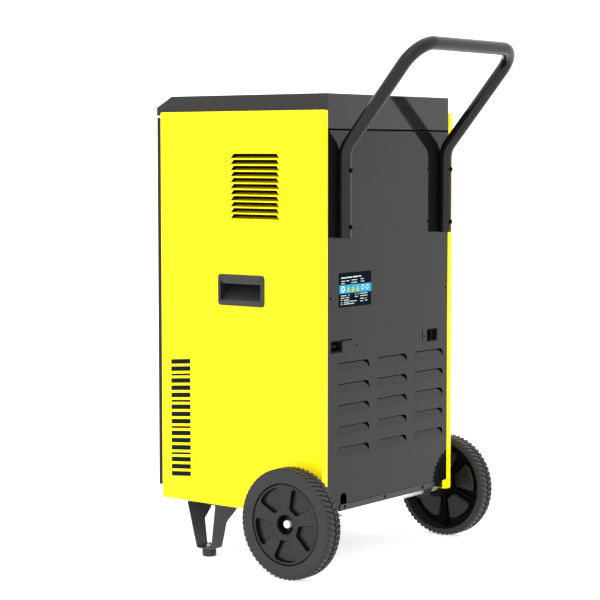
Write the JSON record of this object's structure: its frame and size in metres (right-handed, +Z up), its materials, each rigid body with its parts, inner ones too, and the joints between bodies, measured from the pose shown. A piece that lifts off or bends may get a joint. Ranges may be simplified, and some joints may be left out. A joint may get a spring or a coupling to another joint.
{
  "type": "dehumidifier",
  "caption": "Upright wheeled dehumidifier with yellow side panels, dark case, U-shaped push handle, front water tank drawer, intake filter cassette, coils, fan and compressor.",
  "frame": {"origin": "on the floor, at the middle of the footprint of the whole machine", "axes": "+Z up, -Y the front with the air intake and the tank, +Y the rear with the push handle, +X the machine's right side seen from behind"},
  "size_m": [0.5474, 0.5989, 0.9817],
  "materials": {
    "yellow_paint": "gloss powder coat",
    "dark_paint": "smooth dark grey gloss paint",
    "frame_paint": "satin dark grey paint",
    "black_plastic": "satin moulded black plastic",
    "tyre_rubber": "solid tread rubber",
    "foot_rubber": "moulded rubber",
    "bright_steel": "bright plated steel",
    "screw_steel": "blackened screw steel",
    "galvanised": "galvanised sheet",
    "copper": "drawn copper tube",
    "aluminium": "finned coil",
    "compressor_paint": "black enamel",
    "white_plastic": "natural moulded plastic",
    "clear_plastic": "clear moulded window",
    "display": "dark display window",
    "board": "circuit board",
    "filter_pad": "washable filter mesh",
    "label": "printed film",
    "button_grey": "soft-touch key",
    "switch_red": "gloss rocker"
  },
  "bodies": {
    "root": {"base_tray": "frame_paint", "side_panel_right": "yellow_paint", "side_panel_left": "yellow_paint", "carry_handle_right": "black_plastic", "carry_handle_left": "black_plastic", "hood": "dark_paint", "control_panel": "black_plastic", "display_window": "display", "rear_panel": "dark_paint", "rating_plate": "label", "power_inlet": "black_plastic", "control_socket": "black_plastic", "front_panel": "dark_paint", "evaporator": "aluminium", "condenser": "aluminium", "drip_tray": "white_plastic", "mid_deck": "galvanised", "lower_bulkhead": "galvanised", "fan_bulkhead": "galvanised", "fan_motor": "compressor_paint", "motor_bracket": "galvanised", "compressor": "compressor_paint", "suction_pipe": "copper", "discharge_pipe": "copper", "control_box": "white_plastic", "control_board": "board", "tank_shelf": "galvanised", "foot_bracket_right": "frame_paint", "rubber_foot_right": "foot_rubber", "foot_bolt_right": "bright_steel", "foot_bracket_left": "frame_paint", "rubber_foot_left": "foot_rubber", "foot_bolt_left": "bright_steel", "axle": "bright_steel", "split_pin_right": "bright_steel", "split_pin_left": "bright_steel", "axle_bracket_right": "frame_paint", "axle_bracket_left": "frame_paint", "push_handle": "frame_paint", "handle_screw_right_lower": "screw_steel", "handle_screw_right_upper": "screw_steel", "handle_screw_left_lower": "screw_steel", "handle_screw_left_upper": "screw_steel"},
    "wheel_right": {"wheel_rim_right": "black_plastic", "tyre_right": "tyre_rubber"},
    "wheel_left": {"wheel_rim_left": "black_plastic", "tyre_left": "tyre_rubber"},
    "fan": {"fan_blades": "black_plastic", "motor_shaft": "bright_steel"},
    "filter": {"intake_grille": "black_plastic", "air_filter": "filter_pad"},
    "tank": {"water_tank": "white_plastic", "tank_front": "dark_paint", "level_window": "clear_plastic", "float_pin": "bright_steel"},
    "float": {"float_arm": "white_plastic"},
    "button_up": {"button_up": "button_grey"},
    "button_down": {"button_down": "button_grey"},
    "button_mode": {"button_mode": "button_grey"},
    "power_switch": {"power_switch": "switch_red"}
  },
  "joints": [
    {"name": "wheel_right_spin", "type": "hinge", "parent": "root", "child": "wheel_right", "pos_m": [0, 0.0743, 0.1025], "axis": [1, 0, 0], "continuous": true},
    {"name": "wheel_left_spin", "type": "hinge", "parent": "root", "child": "wheel_left", "pos_m": [0, 0.0743, 0.1025], "axis": [1, 0, 0], "continuous": true},
    {"name": "fan_spin", "type": "hinge", "parent": "root", "child": "fan", "pos_m": [0, -0.1232, 0.62], "axis": [0, 1, 0], "continuous": true},
    {"name": "filter_slide", "type": "slide", "parent": "root", "child": "filter", "axis": [0, -1, 0], "range_m": [0, 0.08]},
    {"name": "tank_slide", "type": "slide", "parent": "root", "child": "tank", "axis": [0, -1, 0], "range_m": [0, 0.2]},
    {"name": "float_swing", "type": "hinge", "parent": "tank", "child": "float", "pos_m": [-0.1, -0.2222, 0.332], "axis": [1, 0, 0], "range_deg": [0, 18]},
    {"name": "button_up_press", "type": "slide", "parent": "root", "child": "button_up", "axis": [0, 0.4755, -0.8797], "range_m": [0, 0.0015], "stiffness_N_per_m": 400, "springref_m": -0.0005},
    {"name": "button_down_press", "type": "slide", "parent": "root", "child": "button_down", "axis": [0, 0.4755, -0.8797], "range_m": [0, 0.0015], "stiffness_N_per_m": 400, "springref_m": -0.0005},
    {"name": "button_mode_press", "type": "slide", "parent": "root", "child": "button_mode", "axis": [0, 0.4755, -0.8797], "range_m": [0, 0.0015], "stiffness_N_per_m": 400, "springref_m": -0.0005},
    {"name": "power_switch_rock", "type": "hinge", "parent": "root", "child": "power_switch", "pos_m": [0.084, -0.27892, 0.86921], "axis": [0, 0.8797, 0.4755], "range_deg": [-10, 10]}
  ]
}
